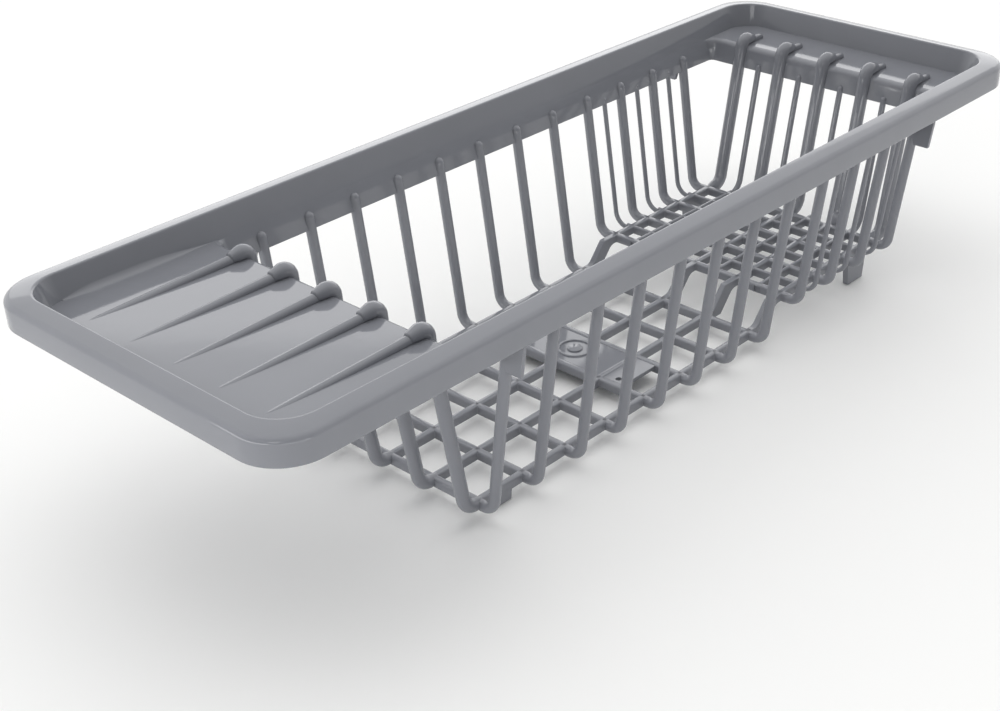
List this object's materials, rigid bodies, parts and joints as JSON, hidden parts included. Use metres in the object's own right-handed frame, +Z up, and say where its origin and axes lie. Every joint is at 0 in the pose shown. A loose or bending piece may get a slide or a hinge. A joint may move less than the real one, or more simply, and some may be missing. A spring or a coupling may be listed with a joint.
{
  "type": "dish drying rack",
  "caption": "Long shallow basket rack of moulded bars and ribs with a wide flat rim, a sloping drain shelf at one end, a stepped floor and small feet; holds washed dishes while they drip dry.",
  "frame": {"origin": "on the plane that the feet stand on, under the middle of the rim", "axes": "+X along the rack from the drain shelf to the end ledge, +Y across it to the back, +Z up"},
  "size_m": [0.48, 0.171, 0.105],
  "materials": {
    "polypropylene": "glossy"
  },
  "bodies": {
    "root": {"rim_front": "polypropylene", "rim_back": "polypropylene", "rim_left": "polypropylene", "rim_right": "polypropylene", "rim_corner_front_left": "polypropylene", "rim_corner_front_right": "polypropylene", "rim_corner_back_left": "polypropylene", "rim_corner_back_right": "polypropylene", "wall_front": "polypropylene", "wall_back": "polypropylene", "wall_left": "polypropylene", "wall_right": "polypropylene", "drain_shelf": "polypropylene", "end_ledge": "polypropylene", "shelf_rib_1": "polypropylene", "shelf_rib_2": "polypropylene", "shelf_rib_3": "polypropylene", "shelf_rib_4": "polypropylene", "shelf_rib_5": "polypropylene", "left_bar_1": "polypropylene", "left_bar_2": "polypropylene", "left_bar_3": "polypropylene", "left_bar_4": "polypropylene", "left_bar_5": "polypropylene", "right_bar_1": "polypropylene", "right_bar_2": "polypropylene", "right_bar_3": "polypropylene", "right_bar_4": "polypropylene", "right_bar_5": "polypropylene", "thin_right_bars": "polypropylene", "ledge_ribs": "polypropylene", "front_deep_bars": "polypropylene", "back_deep_bars": "polypropylene", "front_shallow_bars": "polypropylene", "back_shallow_bars": "polypropylene", "front_thin_bars": "polypropylene", "back_thin_bars": "polypropylene", "deep_long_ribs": "polypropylene", "deep_cross_ribs": "polypropylene", "floor_risers": "polypropylene", "shallow_long_ribs": "polypropylene", "shallow_cross_ribs": "polypropylene", "thin_long_ribs": "polypropylene", "thin_cross_ribs": "polypropylene", "label_plate": "polypropylene", "brace_front_left": "polypropylene", "brace_front_right": "polypropylene", "brace_back_left": "polypropylene", "brace_back_right": "polypropylene", "foot_front_left": "polypropylene", "foot_front_right": "polypropylene", "foot_back_left": "polypropylene", "foot_back_right": "polypropylene"}
  },
  "joints": []
}
